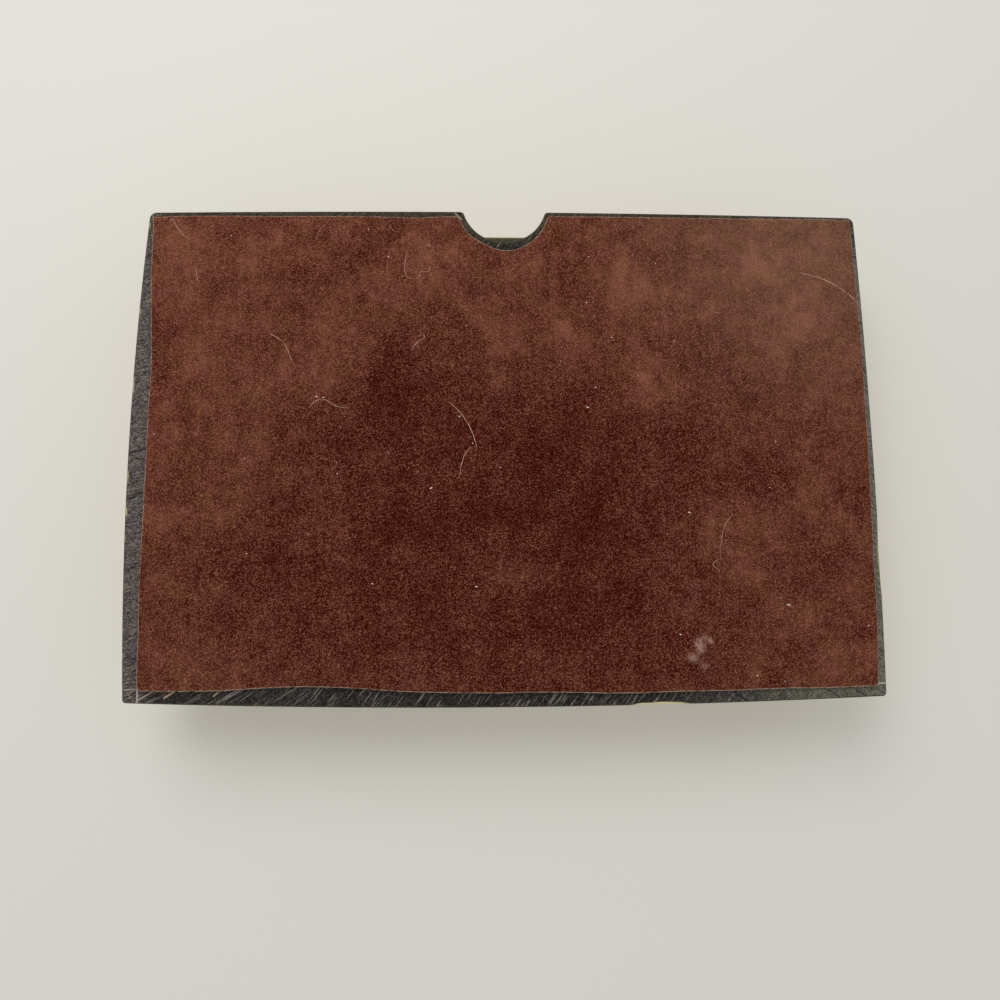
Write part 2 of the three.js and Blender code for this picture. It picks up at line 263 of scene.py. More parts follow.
def bowed_outline(places, bows, radii, side_shares, inset=0.0, notch=None):
    """Points of a four-sided outline of bowed sides and round corners, and the way out at each point."""
    sides = [side_circle(places[i], places[(i + 1) % 4], bows[i], inset) for i in range(4)]
    rounds = []
    for i, place in enumerate(places):
        before, after = sides[i - 1], sides[i]
        rounds.append(crossing(before[0], before[1] - radii[i], after[0], after[1] - radii[i], place))
    arcs = []
    for i, side in enumerate(sides):
        start, end = rounds[i], rounds[(i + 1) % 4]
        turn = angle(sides[i - 1][0], start), angle(side[0], start)
        arcs.append(arc(start, radii[i], *turn, even(CORNER_POINTS)))
        if i == 0 and notch:
            arcs += notched_side(side, start, end, notch)
        else:
            arcs.append(arc(*side, angle(side[0], start), angle(side[0], end), side_shares[i]))
    rays = [np.exp(1j * (a.start + a.sweep * a.shares)) for a in arcs]
    line = np.concatenate([a.centre + a.radius * ray for a, ray in zip(arcs, rays)])
    outwards = np.concatenate([-ray if a.hollow else ray for a, ray in zip(arcs, rays)])
    return line, outwards


def notch_in_front(offset, depth, radius, lip_radius):
    """A round notch in the middle of the front, as its centre, its radius and the radius of its lips."""
    return complex(middle.real + offset, tray_low.y + depth - radius), radius, lip_radius


def mouth_shares():
    """Shares of a plain front side that face the slab's notched one point for point."""
    half_mouth = (NOTCH_RADIUS + NOTCH_LIP_RADIUS) / (right_x - left_x)
    cuts = [0.0, 0.5 - half_mouth, 0.5 + half_mouth, 1.0]
    counts = [NOTCH_POINTS[0], sum(NOTCH_POINTS[1:4]), NOTCH_POINTS[4]]
    return np.concatenate([a + (b - a) * even(n) for a, b, n in zip(cuts, cuts[1:], counts)])


SIDE_SHARES = [
    mouth_shares(),
    even(SHORT_SIDE_POINTS),
    even(LONG_SIDE_POINTS),
    even(SHORT_SIDE_POINTS),
]


# Laying a piece's surface

def ease(value):
    """0 below 0, 1 above 1 and a smooth rise between."""
    share = np.clip(value, 0.0, 1.0)
    return share * share * (3 - 2 * share)


def wander(line, layers):
    """Smooth random values along a line, added up. Each has its amount, size in millimetres and seed."""
    places = [Vector((p.real, p.imag, 0)) for p in line]
    total = 0.0
    for amount, size, seed in layers:
        seeded = Vector((0, 0, seed))
        total = total + amount * np.array([noise.noise(place / (size * MM) + seeded) for place in places])
    return total


def around(line, x, y, size):
    """1 at a place and softly less away from it, over that size. Both are in millimetres."""
    return np.exp(-((np.abs(line - complex(x, y) * MM) / (size * MM)) ** 2))


def rounding(radius, steps):
    """How far a rounded edge stands back and how far below its top, in turns from its wall to its flat."""
    turns = np.linspace(0, math.pi / 2, steps + 1)
    return list(zip(radius * (1 - np.cos(turns)), radius * (1 - np.sin(turns))))


class Skin:
    """The points and faces of one piece, with one number at each point for its material to read."""

    def __init__(self, value_name):
        self.value_name = value_name
        self.points = []
        self.values = []
        self.faces = []

    def lay(self, line, heights, value):
        """A row of points over a line; returns their numbers."""
        first = len(self.points)
        self.points.extend(zip(line.real, line.imag, np.broadcast_to(heights, line.shape)))
        self.values.extend(np.broadcast_to(value, line.shape))
        return np.arange(first, len(self.points))

    def sweep(self, rows):
        """Bands of faces between one closed row and the next. A row that rises faces outwards."""
        for lower, upper in zip(rows, rows[1:]):
            self.faces += list(zip(lower, np.roll(lower, -1), np.roll(upper, -1), upper))

    def close(self, row, upwards):
        """One flat face across a closed row."""
        self.faces.append(tuple(row if upwards else row[::-1]))

    def fill(self, rim, holes, inside, upwards=True):
        """Triangles from a closed rim to the rims of round holes, through points that lie between."""
        rows = [rim, *holes]
        numbers = np.concatenate([*rows, inside]).astype(int)
        edges = []
        for row in rows:
            first = len(edges)
            edges += [(first + i, first + (i + 1) % len(row)) for i in range(len(row))]
        spots = [Vector(self.points[n][:2]) for n in numbers]
        found = geometry.delaunay_2d_cdt(spots, edges, [], 1, SAME_POINT)
        sources = [numbers[source[0]] for source in found[3]]
        for face in found[2]:
            used = [sources[i] for i in face]
            if any(np.isin(used, hole).all() for hole in holes):
                continue
            self.faces.append(tuple(used if upwards else used[::-1]))

    def mesh(self, name):
        made = bpy.data.meshes.new(name)
        made.from_pydata(self.points, [], self.faces)
        made.shade_smooth()
        made.set_sharp_from_angle(angle=CREASE_ANGLE)
        keep_values(made, self.value_name, self.values)
        return made


def keep_values(mesh, name, values):
    """Stores one number at each point, for a material to read."""
    mesh.attributes.new(name, "FLOAT", "POINT").data.foreach_set("value", np.asarray(values, np.float32))


def points_and_normals(mesh):
    points = np.empty(len(mesh.vertices) * 3, np.float32)
    normals = np.empty(len(mesh.vertices) * 3, np.float32)
    mesh.vertices.foreach_get("co", points)
    mesh.vertex_normals.foreach_get("vector", normals)
    return points.reshape(-1, 3).astype(float), normals.reshape(-1, 3).astype(float)


def work_by_hand(mesh, free_above):
    """Lets clay wander inwards above a height, and stores where it bends out and where it bends in."""
    points, normals = points_and_normals(mesh)
    drift = np.array([0.5 + 0.5 * noise.noise(Vector(p) / CLAY_WANDER_SIZE) for p in points])
    free = ease((points[:, 2] - free_above) / CLAY_FREE_HEIGHT)
    points -= normals * (CLAY_WANDER * drift * free)[:, None]
    mesh.vertices.foreach_set("co", points.astype(np.float32).ravel())
    mesh.update()
    ends = np.empty(len(mesh.edges) * 2, np.int32)
    mesh.edges.foreach_get("vertices", ends)
    a, b = ends.reshape(-1, 2).T
    along = points[b] - points[a]
    bend = ((normals[b] - normals[a]) * along).sum(1) / np.maximum((along**2).sum(1), SHORTEST_EDGE**2)
    count = len(points)
    met = np.maximum(np.bincount(a, minlength=count) + np.bincount(b, minlength=count), 1)
    for _ in range(EDGE_SMOOTHINGS):
        at_point = (np.bincount(a, bend, count) + np.bincount(b, bend, count)) / met
        bend = (at_point[a] + at_point[b]) / 2
    keep_values(mesh, "outer_edge", np.clip(at_point * EDGE_BREAK_RADIUS, 0, 1) * free)
    keep_values(mesh, "inner_edge", np.clip(-at_point * EDGE_BREAK_RADIUS, 0, 1) * free)


# The finish of the ground clay, which comes second on the tray and on the cover
GROUND_FINISH = 1


def grind(mesh, height):
    """Gives the faces below a height the ground finish."""
    for face in mesh.polygons:
        if face.center.z < height:
            face.material_index = GROUND_FINISH
    return mesh


# The base tray

# Glaze that ran down the slab's side, in millimetres: place on the outline, width and how far it ran
GLAZE_RUNS = [
    (34.7, 58.6, 9.0, 5.5),
    (86.9, 25.5, 13.0, 5.5),
    (-21.0, 58.7, 4.0, 1.0),
    (63.0, 58.0, 5.0, 0.9),
    (-87.0, -20.0, 6.0, 1.2),
    (-87.0, 31.0, 4.0, 1.4),
    (-46.0, -58.6, 5.0, 1.1),
]
# Where the edge was ground away under the first run, so that its glaze shows past the dark clay:
# half the length of that place and its depth
GROUND_HALF_LENGTH = 7.0 * MM
GROUND_AWAY = 0.3 * MM


def glaze_edge(height, stop, lip):
    """How far the glaze has come in at a height, from bare clay at 0 to its full coat at 1."""
    return ease((height - stop) / lip + 0.5)


def slab_glaze_stop(line):
    """Where the glaze that came over the slab's upper edge stopped on its side."""
    stop = slab_bottom + SLAB_GLAZE_STOP + MM * wander(line, SLAB_GLAZE_WANDER)
    for x, y, width, depth in GLAZE_RUNS:
        stop = stop - depth * MM * around(line, x, y, width)
    return stop


def slab_rows(skin):
    """The ground underside's margin, its worn arris, the slab's side and its rounded upper edge."""
    notch = notch_in_front(NOTCH_OFFSET, NOTCH_DEPTH, NOTCH_RADIUS, NOTCH_LIP_RADIUS)
    line, out = bowed_outline(corners, BOWS, SLAB_CORNERS, SIDE_SHARES, notch=notch)
    first_run = complex(*GLAZE_RUNS[0][:2]) * MM
    ground_away = np.clip(1 - (np.abs(line - first_run) / GROUND_HALF_LENGTH) ** 2, 0, 1)
    worn = SLAB_ARRIS * (1 + wander(line, ARRIS_WANDER)) + GROUND_AWAY * ground_away
    stop = slab_glaze_stop(line)
    flecks = ease((wander(line, FLECK_WANDER) - FLECK_LEVEL) / FLECK_RISE)
    flecks = SMEAR_SHARE * flecks * (line.real < left_x)
    rows = []
    for inset in MARGIN_INSETS:
        smeared = glaze_edge(slab_bottom - SMEAR_SLOPE * inset, stop, SMEAR_LIP) * (1 - ground_away)
        smeared = np.maximum(SMEAR_SHARE * smeared, flecks * ease((FLECK_REACH - inset) / FLECK_FADE))
        rows.append(skin.lay(line - out * (worn + inset - SLAB_ARRIS), slab_bottom, smeared))
    smeared = np.maximum(flecks, ease((slab_bottom - stop) / MM))
    rows.append(skin.lay(line - out * worn, slab_bottom, smeared))
    wall_start = slab_bottom + SLAB_ARRIS
    for height in np.linspace(wall_start, slab_top - SLAB_TOP_RADIUS, SLAB_WALL_ROWS):
        coat = glaze_edge(height, stop, GLAZE_LIP)
        bead = GLAZE_BEAD * np.exp(-(((height - stop) / GLAZE_BEAD_WIDTH) ** 2))
        step = GLAZE_THICKNESS * ease((height - wall_start) / GLAZE_BEAD_WIDTH)
        inset = np.maximum(step - (GLAZE_THICKNESS * GLAZE_FILL + bead) * coat, 0.0)
        rows.append(skin.lay(line - out * inset, height, coat))
    for back, down in rounding(SLAB_TOP_RADIUS, EDGE_STEPS)[1:]:
        rows.append(skin.lay(line - out * (back + GLAZE_SETBACK), slab_top - down, 1.0))
    return rows, line - out * (SLAB_TOP_RADIUS + GLAZE_SETBACK)


def saddle_top(line):
    """Height of the curb along a line: level, but dipped in a round saddle in the middle."""
    across = np.minimum(np.abs(line.imag - middle.imag), SADDLE_RADIUS)
    floor = curb_top - SADDLE_DEPTH + SADDLE_RADIUS - np.sqrt(SADDLE_RADIUS**2 - across**2)
    gap = (floor - curb_top) / SADDLE_SOFTNESS
    return curb_top - SADDLE_SOFTNESS * np.logaddexp(0.0, -gap)


def curb_rows(skin, ledge_rim):
    """The ledge from the slab's rim, a fillet, the curb's wall and its rounded top edge."""
    line, out = bowed_outline(corners, BOWS, [CURB_CORNER_RADIUS] * 4, SIDE_SHARES, curb_inset)
    rows = []
    foot = line + out * CURB_FOOT_FILLET
    for share in np.linspace(0, 1, LEDGE_ROWS)[1:-1]:
        rows.append(skin.lay(ledge_rim + (foot - ledge_rim) * share, slab_top, 1.0))
    for up, reach in rounding(CURB_FOOT_FILLET, FILLET_STEPS):
        rows.append(skin.lay(line + out * reach, slab_top + up, 1.0))
    top = saddle_top(line)
    wall_start = slab_top + CURB_FOOT_FILLET
    for share in np.linspace(0, 1, CURB_WALL_ROWS)[1:]:
        rows.append(skin.lay(line, wall_start + (top - CURB_EDGE_RADIUS - wall_start) * share, 1.0))
    for back, down in rounding(CURB_EDGE_RADIUS, EDGE_STEPS)[1:]:
        rows.append(skin.lay(line - out * back, top - down, 1.0))
    return rows


def well_outline(side, inset):
    """A card well's outline, worked back from the felt that lies in it."""
    low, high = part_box(f"{side}_well_felt")
    grow = WELL_FELT_GAP - inset
    places = [
        complex(low.x - grow, low.y - grow),
        complex(high.x + grow, low.y - grow),
        complex(high.x + grow, high.y + grow),
        complex(low.x - grow, high.y + grow),
    ]
    shares = [even(count) for count in WELL_SIDE_POINTS]
    return bowed_outline(places, [0.0] * 4, [WELL_CORNER_RADIUS - inset] * 4, shares)


def well_rows(skin, side):
    """One card well, from its rounded rim down to its floor."""
    line, out = well_outline(side, 0.0)
    top = saddle_top(line)
    rows = []
    for back, down in rounding(CURB_EDGE_RADIUS, EDGE_STEPS)[::-1]:
        rows.append(skin.lay(line + out * back, top - down, 1.0))
    for share in np.linspace(1, 0, CURB_WALL_ROWS)[1:]:
        rows.append(skin.lay(line, slab_top + (top - CURB_EDGE_RADIUS - slab_top) * share, 1.0))
    return rows


def base_tray():
    """The ground slab with its notch, the ledge, and the curb and divider round the two card wells."""
    skin = Skin("glaze")
    rows, ledge_rim = slab_rows(skin)
    rows += curb_rows(skin, ledge_rim)
    skin.close(rows[0], upwards=False)
    skin.sweep(rows)
    rims = []
    for side in ("left", "right"):
        well = well_rows(skin, side)
        skin.sweep(well)
        skin.close(well[-1], upwards=True)
        rims.append(well[0])
    divider_sides = [max(skin.points[n][0] for n in rims[0]), min(skin.points[n][0] for n in rims[1])]
    across = np.linspace(*divider_sides, DIVIDER_POINTS[0])[1:-1]
    along = middle.imag + np.linspace(-DIVIDER_REACH, DIVIDER_REACH, DIVIDER_POINTS[1]) * SADDLE_RADIUS
    divider = (across[None, :] + 1j * along[:, None]).ravel()
    skin.fill(rows[-1], rims, skin.lay(divider, saddle_top(divider), 1.0))
    return grind(skin.mesh("base_tray_stoneware"), slab_bottom + GRINDING_DEPTH)


# The cover

def cover():
    """A hollow cap in one sweep: ceiling, inner wall, foot, outer wall and crowned top."""
    skin = Skin("glaze")
    shares = [even(count) for count in COVER_SIDE_POINTS]
    line, out = bowed_outline(corners, BOWS, [CAVITY_CORNER_RADIUS] * 4, shares, cavity_inset)
    rows = []
    shoulder = line - out * (COVER_DRAFT + CAVITY_EDGE_RADIUS)
    for scale in CEILING_RINGS:
        rows.append(skin.lay(middle + (shoulder - middle) * scale, ceiling, 1.0))
    for back, down in rounding(CAVITY_EDGE_RADIUS, COVER_ROUND_STEPS)[::-1]:
        rows.append(skin.lay(line - out * (COVER_DRAFT + back), ceiling - down, 1.0))
    wall_foot = slab_top + COVER_LEAD_IN
    wall_height = ceiling - CAVITY_EDGE_RADIUS - wall_foot
    for share in np.linspace(1, 0, CAVITY_WALL_ROWS)[1:]:
        height = wall_foot + wall_height * share
        coat = ease((height - slab_top) / INNER_GLAZE_LIP)
        rows.append(skin.lay(line - out * COVER_DRAFT * share, height, coat))
    rows.append(skin.lay(line + out * COVER_LEAD_IN, slab_top, 0.0))

    line, out = bowed_outline(corners, BOWS, [COVER_CORNER_RADIUS] * 4, shares, LEDGE_WIDTH)
    stop = slab_top + COVER_GLAZE_STOP + MM * wander(line, COVER_GLAZE_WANDER)
    for back, up in rounding(COVER_FOOT_RADIUS, COVER_ROUND_STEPS)[::-1]:
        height = slab_top + up
        rows.append(skin.lay(line - out * back, height, glaze_edge(height, stop, COVER_GLAZE_LIP)))
    wall_end = cover_top - COVER_EDGE_RADIUS
    for height in np.linspace(slab_top + COVER_FOOT_RADIUS, wall_end, COVER_WALL_ROWS)[1:]:
        lean = COVER_DRAFT * (height - slab_top) / (wall_end - slab_top)
        rows.append(skin.lay(line - out * lean, height, 1.0))
    for back, down in rounding(COVER_EDGE_RADIUS, COVER_EDGE_STEPS)[1:]:
        rows.append(skin.lay(line - out * (COVER_DRAFT + back), cover_top - down, 1.0))
    shoulder = line - out * (COVER_DRAFT + COVER_EDGE_RADIUS)
    for scale in CROWN_RINGS:
        rise = COVER_CROWN * (1 - scale**2)
        rows.append(skin.lay(middle + (shoulder - middle) * scale, cover_top + rise, 1.0))
    skin.close(rows[0], upwards=False)
    skin.sweep(rows)
    skin.close(rows[-1], upwards=True)
    bare_below = slab_top + COVER_GLAZE_STOP + COVER_GLAZE_LIP / 2
    return grind(skin.mesh("cover_glazed_stoneware"), bare_below)


# The felts

# Where the scissors left the line, in millimetres: place, size and how far out of the line
FELT_CUTS = [
    (-50.0, 54.5, 11.0, -0.7),
    (-36.0, 54.7, 13.0, -0.9),
    (36.0, 55.6, 40.0, 0.42),
    (84.8, 45.0, 16.0, 0.4),
    (-82.9, -18.5, 9.0, -0.45),
    (-82.7, 38.0, 24.0, 0.75),
    (-5.4, -50.6, 3.5, 0.45),
    (2.6, -48.6, 3.5, -0.35),
    (-34.0, -57.4, 18.0, -0.4),
    (-19.0, -57.4, 7.0, -0.35),
    (48.0, -57.6, 40.0, -0.28),
]

# Patches of painted sheen, pale where the nap lies over and dark where it stands, in millimetres: place, size
# and how much
NAP_SHEEN_PATCHES = [
    (15, -28, 6, 0.14),
    (-2, -22, 6, 0.14),
    (32, -18, 7, 0.2),
    (40, -10, 6, 0.14),
    (30, -38, 8, 0.14),
    (68, -41, 16, 0.16),
    (-23, -41, 7, 0.14),
    (-80, -44, 11, 0.12),
    (-42, -19, 9, 0.1),
    (-63, 8, 10, 0.1),
    (52, 24, 14, 0.19),
    (1, 29, 7, 0.16),
    (-17, 28, 6, 0.1),
    (-42, 17, 8, 0.12),
    (-25, 51, 5, 0.2),
    (-24, -12, 12, -0.18),
    (-20, -28, 8, -0.12),
    (14, -2, 10, -0.1),
    (19, 16, 7, -0.12),
    (22, -31, 5, -0.14),
    (44, -17, 5, -0.16),
    (47, -6, 5, -0.1),
    (56, -19, 6, -0.1),
    (-36, -46, 8, -0.12),
    (-60, 24, 9, -0.1),
    (-39, 44, 9, -0.1),
]
# Painted light and sheen: the felt is painted darkest round this place and paler out towards its edges
NAP_PAINTED_SHADE_CENTRE = complex(0, 22) * MM
NAP_DARK, NAP_PALE = 0.23, 0.54
NAP_DARK_REACH, NAP_FADE = 0.2, 0.95

# Rows of a felt's rim: how far in, as a share of the rim, how far through the felt, and how frayed
FELT_RIM_ROWS = [(-0.1, 0.45, 1.0), (0.05, 0.75, 1.0), (0.4, 0.92, 0.9), (1.0, 1.0, 0.0)]
# The grid of points across a felt: how far apart its rows lie, and how far it stays from the edge
FELT_ROW_SPACING = FELT_POINT_SPACING * 0.87
FELT_GRID_MARGIN = 2.2 * FELT_RIM


def hand_cut(line):
    """How far the base felt's outline, as scissors leave it, stands out of a true line."""
    drift = MM * wander(line, FELT_CUT_WANDER)
    for x, y, size, depth in FELT_CUTS:
        drift = drift + depth * MM * around(line, x, y, size)
    return drift


def nap_tone_and_sheen(spots):
    """How pale the nap is painted at each spot, from its large clouds down to patches of a few millimetres:
    partly random tone, partly painted light and sheen.
    """
    bent = spots + MM * (wander(spots, NAP_DRIFT_X) + 1j * wander(spots, NAP_DRIFT_Y))
    away = bent - NAP_PAINTED_SHADE_CENTRE
    reach = np.hypot(away.real / tray_high.x, away.imag / tray_high.y)
    tone = NAP_DARK + (NAP_PALE - NAP_DARK) * ease((reach - NAP_DARK_REACH) / NAP_FADE)
    broken = 1 + wander(spots, NAP_BREAKS)
    for x, y, size, amount in NAP_SHEEN_PATCHES:
        tone = tone + amount * broken * around(bent, x, y, size)
    return tone + wander(spots, NAP_CLOUDS)


def inside_of(line, spots):
    """Which spots lie inside a closed line, by how often a level ray from each crosses it."""
    crossed = np.zeros(len(spots), int)
    for a, b in zip(line, np.roll(line, -1)):
        if a.imag != b.imag:
            spans = (a.imag > spots.imag) != (b.imag > spots.imag)
            at = a.real + (spots.imag - a.imag) * (b.real - a.real) / (b.imag - a.imag)
            crossed += spans & (spots.real < at)
    return crossed % 2 == 1


def felt_sheet(name, line, out, glued_face, nap_face):
    """A felt with a soft rounded rim, from the face that is glued to the face with the nap."""
    skin = Skin("rim")
    thickness = nap_face - glued_face
    upwards = thickness > 0
    rows = [skin.lay(line, glued_face, 1.0)]
    for inset, share, rim in FELT_RIM_ROWS:
        rows.append(skin.lay(line - out * inset * FELT_RIM, glued_face + thickness * share, rim))
    grid_x = np.arange(line.real.min(), line.real.max(), FELT_POINT_SPACING)
    grid_y = np.arange(line.imag.min(), line.imag.max(), FELT_ROW_SPACING)
    shift = FELT_POINT_SPACING / 2 * (np.arange(len(grid_y)) % 2)
    spots = (grid_x[None, :] + shift[:, None] + 1j * grid_y[:, None]).ravel()
    spots = spots[inside_of(line - out * FELT_GRID_MARGIN, spots)]
    relief = np.clip(0.5 + wander(spots, NAP_RELIEF), 0, 1)
    laid = skin.lay(spots, nap_face - math.copysign(NAP_DEPTH, thickness) * relief, 0.0)
    skin.sweep(rows if upwards else rows[::-1])
    skin.fill(rows[-1], [], laid, upwards)
    skin.close(rows[0], upwards=not upwards)
    mesh = skin.mesh(name)
    # The nap's tone at each point, partly painted light and sheen, for its material to read
    keep_values(mesh, "nap", nap_tone_and_sheen(np.array([complex(x, y) for x, y, _ in skin.points])))
    return mesh


def base_felt_outline():
    places = [corner + margin for corner, margin in zip(corners, FELT_MARGINS)]
    depth = NOTCH_DEPTH + FELT_NOTCH_MARGIN
    notch = notch_in_front(FELT_NOTCH_OFFSET, depth, FELT_NOTCH_RADIUS, FELT_NOTCH_LIP_RADIUS)
    line, out = bowed_outline(places, FELT_BOWS, [FELT_CORNER_RADIUS] * 4, SIDE_SHARES, notch=notch)
    return line + out * hand_cut(line), out


def base_felt():
    """The felt glued under the slab, cut by hand round the notch."""
    return felt_sheet("base_felt_nap", *base_felt_outline(), felt_high.z, felt_low.z)


def well_felt(side):
    """The felt that lies in one card well."""
    low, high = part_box(f"{side}_well_felt")
    line, out = well_outline(side, WELL_FELT_GAP)
    cut = MM * wander(line, LINING_CUT_WANDER)
    return felt_sheet(f"{side}_well_felt_nap", line + out * cut, out, low.z, high.z)


# Hairs on the nap: each one's share of the thickness, and its points in millimetres. Real hairs are half as
# thick: they are drawn coarser so that they show.
LINT_THICKNESS = 0.1 * MM
LINT_ENDS = 0.5
LINT_SINK = 0.03 * MM
LINT = [
    (1.0, [(-55.2, -27.4), (-53.6, -26.4), (-51.8, -25.5), (-50.9, -23.2), (-49.8, -20.2)]),
    (0.9, [(-45.6, -9.8), (-44.4, -11.2), (-42.8, -12.0), (-41.0, -10.9), (-39.2, -9.6), (-36.5, -9.5)]),
    (0.85, [(-23.2, -48.5), (-24.0, -45.6), (-23.9, -42.4), (-23.4, -41.0), (-20.8, -41.2)]),
    (0.7, [(-20.8, -41.2), (-20.2, -42.3), (-20.3, -43.3), (-18.4, -42.6), (-17.7, -43.6), (-18.1, -44.5)]),
    (0.85, [(-22.1, -23.2), (-21.1, -25.4), (-19.9, -26.0), (-18.7, -26.6), (-19.3, -27.5)]),
    (0.7, [(-20.6, -28.6), (-19.1, -27.6), (-20.5, -26.8)]),
    (1.1, [(-13.3, -11.1), (-10.6, -8.7), (-8.4, -5.6), (-7.2, -2.4), (-6.7, 0.1)]),
    (1.0, [(-8.2, -0.1), (-9.8, 1.4), (-9.8, 3.0), (-10.8, 4.5), (-10.2, 6.1), (-11.3, 7.3)]),
    (0.7, [(52.6, 15.6), (50.7, 17.4), (49.6, 20.6), (49.7, 22.4), (48.9, 24.0), (49.5, 26.2)]),
    (0.7, [(49.2, 25.9), (46.9, 26.7), (47.8, 28.4), (49.0, 28.2), (48.6, 29.4)]),
    (1.1, [(71.5, -43.3), (75.2, -42.4), (78.7, -41.3), (81.6, -39.0), (84.3, -37.3), (86.0, -34.7)]),
    (0.9, [(-79.5, -56.4), (-78.3, -53.4), (-76.9, -51.6), (-75.0, -50.7)]),
    (0.8, [(-73.9, -44.0), (-72.9, -42.6), (-73.1, -41.2), (-72.5, -40.1)]),
    (0.7, [(-42.9, -54.8), (-44.8, -53.3), (-44.8, -52.3), (-45.2, -51.1)]),
    (0.7, [(-27.6, -54.7), (-26.7, -52.9), (-25.8, -53.0)]),
]
# Specks of dust on the nap, in millimetres: place and length. Each lies its own way.
SPECK_THICKNESS = 0.24 * MM
SPECK_WAYS = (-0.5, 0.7)
SPECKS = [
    (64.4, 36.5, 0.8), (-6.9, 32.0, 0.5), (19.3, -9.7, 0.5), (39.3, 43.0, 0.45), (42.4, 15.2, 0.45),
    (-44.0, -12.2, 0.4), (-17.3, 9.4, 0.6), (-30.4, 31.2, 0.3), (-27.8, -46.7, 0.3), (-42.4, -12.0, 0.3),
    (-1.3, 4.6, 0.25), (-7.7, -1.1, 0.25), (56.4, 52.3, 0.3), (82.6, 41.3, 0.3), (25.4, -26.8, 0.25),
    (21.3, -14.5, 0.3), (-38.8, 6.0, 0.2), (63.5, -1.5, 0.2), (19.6, -35.4, 0.2), (-58.8, 24.3, 0.2),
    (-60.1, 2.4, 0.15), (-32.7, -53.5, 0.15), (-10.8, -7.5, 0.3), (-39.1, 3.4, 0.15), (61.5, 9.4, 0.15),
    (20.3, -47.0, 0.15), (12.1, 10.0, 0.15), (36.5, -45.4, 0.15), (-65.3, -51.7, 0.2), (-79.7, -55.6, 0.2),
]

# Fibres that stand out of the base felt's cut edge: how deep they root, how far they fan out and bend, their
# lengths and their heights above the nap in millimetres, and how much each rises to its middle and to its end
FUZZ_COUNT = 900
FUZZ_THICKNESS = 0.06 * MM
FUZZ_ROOT = 0.15 * MM
FUZZ_FAN = 1.2
FUZZ_BEND = 0.4
FUZZ_LENGTHS = (0.2, 0.55)
FUZZ_HEIGHTS = (0.1, 0.7)
FUZZ_RISE = 0.1 * MM


def threads(name, thickness, paths, shares=None, ends=1.0):
    """Round threads along paths in metres, each with its share of the thickness, and with finer ends."""
    curve = bpy.data.curves.new(name, "CURVE")
    curve.dimensions = "3D"
    curve.bevel_depth = thickness / 2
    curve.bevel_resolution = 1
    curve.resolution_u = 4
    curve.use_fill_caps = True
    for path, share in zip(paths, shares or [1.0] * len(paths)):
        spline = curve.splines.new("NURBS")
        spline.points.add(len(path) - 1)
        spline.order_u = min(4, len(path))
        spline.use_endpoint_u = True
        for point, place in zip(spline.points, path):
            point.co = (*place, 1.0)
            point.radius = share
        for point in (spline.points[0], spline.points[-1]):
            point.radius = share * ends
    return curve


def laid_on_felt(paths):
    """Paths in millimetres as places in metres on the base felt's nap."""
    return [[(x * MM, y * MM, felt_low.z + LINT_SINK) for x, y in path] for path in paths]


def hairs():
    """Hairs that have settled on the base felt."""
    shares, paths = zip(*LINT)
    return threads("felt_lint", LINT_THICKNESS, laid_on_felt(paths), shares, LINT_ENDS)


def specks():
    """Dust on the base felt."""
    chance = random.Random(5)
    paths = []
    for x, y, length in SPECKS:
        way = chance.uniform(*SPECK_WAYS)
        reach = length / 2 * math.cos(way), length / 2 * math.sin(way)
        paths.append([(x - reach[0], y - reach[1]), (x + reach[0], y + reach[1])])
    return threads("felt_specks", SPECK_THICKNESS, laid_on_felt(paths))


def edge_fuzz():
    """Short fibres along the base felt's cut edge, each bent its own way."""
    chance = random.Random(7)
    line, out = base_felt_outline()
    paths = []
    for _ in range(FUZZ_COUNT):
        i = chance.randrange(len(line))
        start = line[i] + (line[i - 1] - line[i]) * chance.random() - out[i] * FUZZ_ROOT
        way = out[i] * np.exp(1j * chance.uniform(-FUZZ_FAN, FUZZ_FAN))
        length = chance.uniform(*FUZZ_LENGTHS) * MM
        bend = way * 1j * chance.uniform(-FUZZ_BEND, FUZZ_BEND)
        rise = chance.uniform(*FUZZ_HEIGHTS) * MM
        path = [start + length * (share * way + share**2 * bend) for share in (0.0, 0.5, 1.0)]
        paths.append([(p.real, p.imag, felt_low.z + rise + FUZZ_RISE * k) for k, p in enumerate(path)])
    return threads("felt_edge_fuzz", FUZZ_THICKNESS, paths)


# Materials

def linear(hex_colour):
    """An sRGB hex colour as the linear one that a shader takes."""
    channels = [int(hex_colour[i : i + 2], 16) / 255 for i in (0, 2, 4)]
    return (*[c / 12.92 if c <= 0.04045 else ((c + 0.055) / 1.055) ** 2.4 for c in channels], 1.0)


def add(tree, kind, settings=None, inputs=None, out=0):
    """Adds a node with its settings, links the inputs that are outputs of others, and returns an output."""
    made = tree.nodes.new("ShaderNode" + kind)
    for name, value in (settings or {}).items():
        setattr(made, name, value)
    for name, value in (inputs or {}).items():
        if isinstance(value, bpy.types.NodeSocket):
            tree.links.new(value, made.inputs[name])
        else:
            made.inputs[name].default_value = value
    return made.outputs[out]


# Sockets of a node that mixes two colours, and of one that mixes two numbers
COLOURS = {"data_type": "RGBA"}
SHARE, UNDER, OVER, MIXED = 0, 6, 7, 2
FROM, TO = 2, 3
SOFT_STEP = {"interpolation_type": "SMOOTHSTEP"}
TIMES = {"operation": "MULTIPLY"}
TIMES_PLUS = {"operation": "MULTIPLY_ADD"}
MINUS = {"operation": "SUBTRACT"}
LARGER = {"operation": "MAXIMUM"}


def blank_material(name):
    """A material, its empty tree and the place that each of its patterns starts from."""
    material = bpy.data.materials.new(name)
    material.use_nodes = True
    tree = material.node_tree
    tree.nodes.clear()
    return material, tree, add(tree, "TexCoord", out="Object")


def show(tree, shader):
    """Makes a shader the one that the material shows."""
    output = tree.nodes.new("ShaderNodeOutputMaterial")
    tree.links.new(shader, output.inputs["Surface"])


